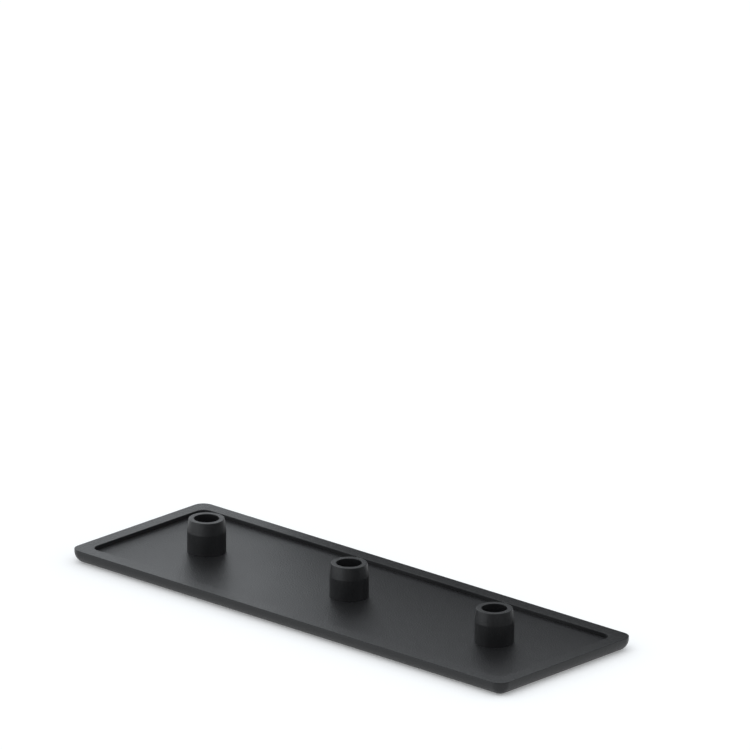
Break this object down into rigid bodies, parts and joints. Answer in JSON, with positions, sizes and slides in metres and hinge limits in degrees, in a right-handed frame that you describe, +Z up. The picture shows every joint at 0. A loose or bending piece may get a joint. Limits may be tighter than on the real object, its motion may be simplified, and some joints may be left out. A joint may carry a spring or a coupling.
{
  "type": "profile end cap",
  "caption": "Black plastic end cap for a slotted framing profile: flat plate with a rolled outer edge, shallow recess, seating rim and hollow push-in pegs.",
  "frame": {"origin": "under the middle of the plate, on the flat outer face that the cap lies on", "axes": "+X along the length of the plate and the row of pegs, +Y across it, +Z up out of the pegs"},
  "size_m": [0.12, 0.04, 0.0093],
  "materials": {
    "black_plastic": "injection-moulded black plastic with a fine matt texture"
  },
  "bodies": {
    "root": {"end_cap": "black_plastic"}
  },
  "joints": []
}
